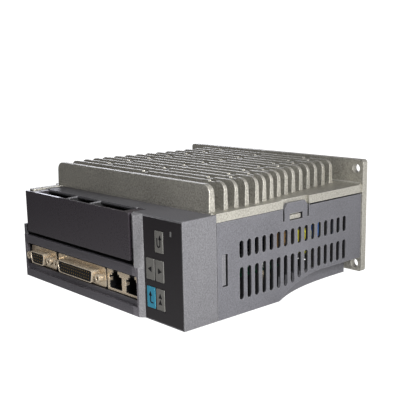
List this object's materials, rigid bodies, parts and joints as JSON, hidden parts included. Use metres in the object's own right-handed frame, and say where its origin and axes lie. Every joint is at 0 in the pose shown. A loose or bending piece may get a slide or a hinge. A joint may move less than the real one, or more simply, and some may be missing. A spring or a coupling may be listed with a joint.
{
  "type": "servo drive",
  "caption": "Compact servo motor drive lying on its side, with finned heatsink and mounting flange, vented covers, keypad, terminal cover and connector tray.",
  "frame": {"origin": "under the middle of the whole drive, on the face it lies on", "axes": "+X towards the upper end of a mounted drive, -Y out of the keypad and connector face, +Z out of the finned side; it lies on its right side as in the picture"},
  "size_m": [0.164, 0.1618, 0.0765],
  "materials": {
    "cast_metal": "die-cast, bead-blasted satin",
    "housing_plastic": "fine spark-eroded grain, slightly metallic grey",
    "overlay": "smoked semi-gloss panel",
    "cover_plastic": "smooth satin moulding",
    "key_grey": "satin",
    "key_blue": "satin",
    "light_pipe": "frosted",
    "board_green": "solder resist",
    "black_plastic": "satin",
    "segment_red": "unlit diffuser",
    "zinc_steel": "zinc plated",
    "nickel": "warm nickel plate",
    "gold": "gold flash",
    "pad": "soft gap filler",
    "capacitor_sleeve": "shrink sleeve",
    "ferrite": "sintered",
    "yellow_tape": "polyester tape",
    "blue_box": "epoxy box",
    "amber_box": "moulded case"
  },
  "bodies": {
    "drive_body": {"heatsink_base": "cast_metal", "earth_lug": "cast_metal", "cover_catches": "cast_metal", "front_fin": "cast_metal", "cooling_fins": "cast_metal", "mounting_flange": "cast_metal", "front_housing": "housing_plastic", "vent_cover": "housing_plastic", "keypad_overlay": "overlay", "status_light": "light_pipe", "keypad_board": "board_green", "keypad_board_screws": "zinc_steel", "key_switches": "black_plastic", "digit_display": "black_plastic", "display_segments": "segment_red", "power_terminals": "black_plastic", "brake_terminals": "black_plastic", "motor_terminals": "black_plastic", "terminal_screws": "zinc_steel", "encoder_shell": "nickel", "encoder_insert": "black_plastic", "control_shell": "nickel", "control_insert": "black_plastic", "jack_sockets": "nickel", "network_shield": "nickel", "network_sockets": "black_plastic", "network_contacts": "gold", "control_board": "board_green", "board_spacers": "nickel", "board_screws": "zinc_steel", "processor": "black_plastic", "board_link": "black_plastic", "board_link_pins": "gold", "power_board": "board_green", "power_board_spacers": "nickel", "power_board_screws": "zinc_steel", "power_module": "black_plastic", "thermal_pad": "pad", "power_module_pins": "zinc_steel", "rectifier": "black_plastic", "bus_capacitors": "capacitor_sleeve", "capacitor_vents": "zinc_steel", "transformer_core": "ferrite", "transformer_winding": "yellow_tape", "transformer_base": "black_plastic", "film_capacitor": "blue_box", "relay": "amber_box", "line_filter": "ferrite", "line_filter_seat": "black_plastic"},
    "cover_door": {"terminal_cover": "cover_plastic"},
    "key_back_cap": {"key_back": "key_grey"},
    "key_down_cap": {"key_down": "key_grey"},
    "key_up_cap": {"key_up": "key_grey"},
    "key_enter_cap": {"key_enter": "key_blue"},
    "key_shift_cap": {"key_shift": "key_grey"}
  },
  "joints": [
    {"name": "back_press", "type": "slide", "parent": "drive_body", "child": "key_back_cap", "axis": [0, 1, 0], "range_m": [0, 0.0005], "stiffness_N_per_m": 1500, "springref_m": -0.0001},
    {"name": "down_press", "type": "slide", "parent": "drive_body", "child": "key_down_cap", "axis": [0, 1, 0], "range_m": [0, 0.0005], "stiffness_N_per_m": 1500, "springref_m": -0.0001},
    {"name": "up_press", "type": "slide", "parent": "drive_body", "child": "key_up_cap", "axis": [0, 1, 0], "range_m": [0, 0.0005], "stiffness_N_per_m": 1500, "springref_m": -0.0001},
    {"name": "enter_press", "type": "slide", "parent": "drive_body", "child": "key_enter_cap", "axis": [0, 1, 0], "range_m": [0, 0.0005], "stiffness_N_per_m": 1500, "springref_m": -0.0001},
    {"name": "shift_press", "type": "slide", "parent": "drive_body", "child": "key_shift_cap", "axis": [0, 1, 0], "range_m": [0, 0.0005], "stiffness_N_per_m": 1500, "springref_m": -0.0001},
    {"name": "cover_hinge", "type": "hinge", "parent": "drive_body", "child": "cover_door", "pos_m": [-0.019, -0.075, 0.0336], "axis": [1, 0, 0], "range_deg": [0, 90]}
  ]
}
